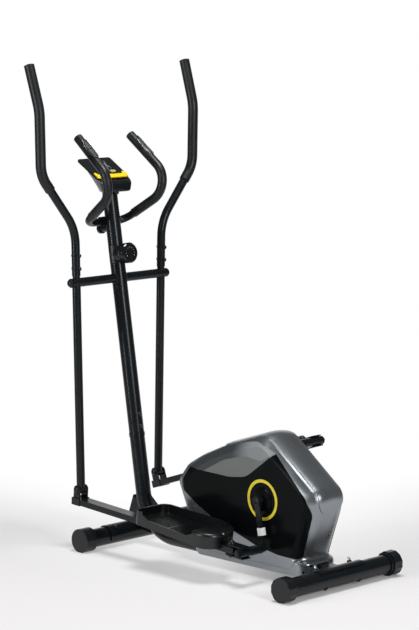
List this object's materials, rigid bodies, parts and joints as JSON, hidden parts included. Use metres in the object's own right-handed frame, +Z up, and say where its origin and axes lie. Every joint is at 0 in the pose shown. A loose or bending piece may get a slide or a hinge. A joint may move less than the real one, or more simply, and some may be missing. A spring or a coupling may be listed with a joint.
{
  "type": "elliptical trainer",
  "caption": "Front-mast elliptical cross trainer with swinging arms, pedal bars on cranks, a covered flywheel drive, fixed handlebar and console.",
  "frame": {"origin": "on the floor below the middle of the machine's bounding box", "axes": "+X forwards to the mast, +Y to the user's left, +Z up"},
  "size_m": [1.1471, 0.687, 1.5842],
  "materials": {
    "bare_steel": "bright steel",
    "belt_rubber": "ribbed belt rubber",
    "black_plastic": "satin moulded black plastic",
    "bolt_black": "gloss black zinc and plastic caps",
    "button_gold": "moulded push button",
    "console_grey": "moulded grey plastic",
    "console_yellow": "yellow moulded trim",
    "cover_silver": "silver-grey sprayed moulded plastic",
    "flywheel_iron": "turned cast iron",
    "foam": "matte closed-cell foam sleeve",
    "frame_paint": "satin black powder coat",
    "lens_grey": "reflective liquid crystal window",
    "panel_black": "gloss black printed panel",
    "pulley_plastic": "glass-filled nylon",
    "ring_yellow": "yellow printed ring",
    "sensor_metal": "plated contact plates on a black body",
    "swoosh_grey": "light grey printed area",
    "trim_dark": "dark grey printed band"
  },
  "bodies": {
    "frame": {"main_frame": "frame_paint", "front_foot_tube": "frame_paint", "rear_foot_tube": "frame_paint", "front_foot_caps": "black_plastic", "foot_bolts": "bolt_black", "mast": "frame_paint", "mast_bolts": "bolt_black", "arm_axle": "bare_steel", "axle_caps": "bolt_black", "tension_base": "black_plastic", "handlebar": "frame_paint", "handlebar_grips": "foam", "horn_plugs": "black_plastic", "pulse_sensors": "sensor_metal", "sensor_bezels": "black_plastic", "handlebar_clamp": "frame_paint", "console_housing": "console_grey", "console_trim": "console_yellow", "console_lens": "lens_grey", "left_housing": "cover_silver", "right_housing": "cover_silver", "side_panels": "panel_black", "side_trims": "trim_dark", "side_swooshes": "swoosh_grey", "side_rings": "ring_yellow", "hub_covers": "panel_black", "crank_bearings": "bare_steel", "drive_belt": "belt_rubber"},
    "crank": {"crank_axle": "bare_steel", "left_crank": "frame_paint", "right_crank": "frame_paint", "crank_nuts": "bolt_black", "drive_pulley": "pulley_plastic"},
    "flywheel": {"flywheel": "flywheel_iron", "flywheel_axle": "bare_steel"},
    "magnet_bracket": {"magnet_bracket": "bare_steel"},
    "tension_knob": {"tension_knob": "black_plastic"},
    "mode_button": {"mode_button": "button_gold"},
    "left_rear_cap": {"left_rear_foot_cap": "black_plastic"},
    "right_rear_cap": {"right_rear_foot_cap": "black_plastic"},
    "left_arm": {"left_lower_arm": "frame_paint", "left_arm_bushes": "black_plastic", "left_upper_arm": "frame_paint", "left_arm_grip": "foam", "left_arm_fittings": "bolt_black"},
    "left_bar": {"left_pedal_bar": "frame_paint", "left_bar_cap": "black_plastic", "left_joint_sleeve": "frame_paint", "left_bar_bolts": "bolt_black", "left_pedal": "black_plastic"},
    "right_arm": {"right_lower_arm": "frame_paint", "right_arm_bushes": "black_plastic", "right_upper_arm": "frame_paint", "right_arm_grip": "foam", "right_arm_fittings": "bolt_black"},
    "right_bar": {"right_pedal_bar": "frame_paint", "right_bar_cap": "black_plastic", "right_joint_sleeve": "frame_paint", "right_bar_bolts": "bolt_black", "right_pedal": "black_plastic"}
  },
  "joints": [
    {"name": "crank_spin", "type": "hinge", "parent": "frame", "child": "crank", "pos_m": [-0.2914, 0, 0.2502], "axis": [0, 1, 0], "continuous": true},
    {"name": "flywheel_spin", "type": "hinge", "parent": "frame", "child": "flywheel", "pos_m": [-0.0621, 0, 0.19], "axis": [0, 1, 0], "continuous": true},
    {"name": "left_arm_swing", "type": "hinge", "parent": "frame", "child": "left_arm", "pos_m": [0.4459, 0, 0.873], "axis": [0, 1, 0], "range_deg": [-12.4, 9.8]},
    {"name": "right_arm_swing", "type": "hinge", "parent": "frame", "child": "right_arm", "pos_m": [0.4459, 0, 0.873], "axis": [0, 1, 0], "range_deg": [-9.8, 12.4]},
    {"name": "left_bar_pivot", "type": "hinge", "parent": "left_arm", "child": "left_bar", "pos_m": [0.43518, 0.1875, 0.19208], "axis": [0, 1, 0], "range_deg": [-9.8, 12.4]},
    {"name": "right_bar_pivot", "type": "hinge", "parent": "right_arm", "child": "right_bar", "pos_m": [0.46554, -0.1875, 0.19228], "axis": [0, 1, 0], "range_deg": [-12.4, 9.8]},
    {"name": "tension_knob_turn", "type": "hinge", "parent": "frame", "child": "tension_knob", "pos_m": [0.41538, 0, 0.95668], "axis": [-0.9881, 0, 0.1535], "range_deg": [0, 300]},
    {"name": "magnet_bracket_swing", "type": "hinge", "parent": "frame", "child": "magnet_bracket", "pos_m": [-0.0621, 0, 0.305], "axis": [0, 1, 0], "range_deg": [0, 8]},
    {"name": "mode_button_press", "type": "slide", "parent": "frame", "child": "mode_button", "axis": [0.515, 0, -0.8572], "range_m": [0, 0.0015], "stiffness_N_per_m": 600},
    {"name": "left_rear_cap_turn", "type": "hinge", "parent": "frame", "child": "left_rear_cap", "pos_m": [-0.5371, 0.255, 0.038], "axis": [0, 1, 0], "range_deg": [-180, 180]},
    {"name": "right_rear_cap_turn", "type": "hinge", "parent": "frame", "child": "right_rear_cap", "pos_m": [-0.5371, -0.255, 0.038], "axis": [0, 1, 0], "range_deg": [-180, 180]}
  ],
  "couplings": [
    {"joint": "flywheel_spin", "follows": "crank_spin", "ratio": 7.5},
    {"joint": "right_arm_swing", "follows": "left_arm_swing", "ratio": -1},
    {"joint": "left_bar_pivot", "follows": "left_arm_swing", "ratio": -1},
    {"joint": "right_bar_pivot", "follows": "left_arm_swing", "ratio": 1},
    {"joint": "magnet_bracket_swing", "follows": "tension_knob_turn", "ratio": 0.026667}
  ]
}
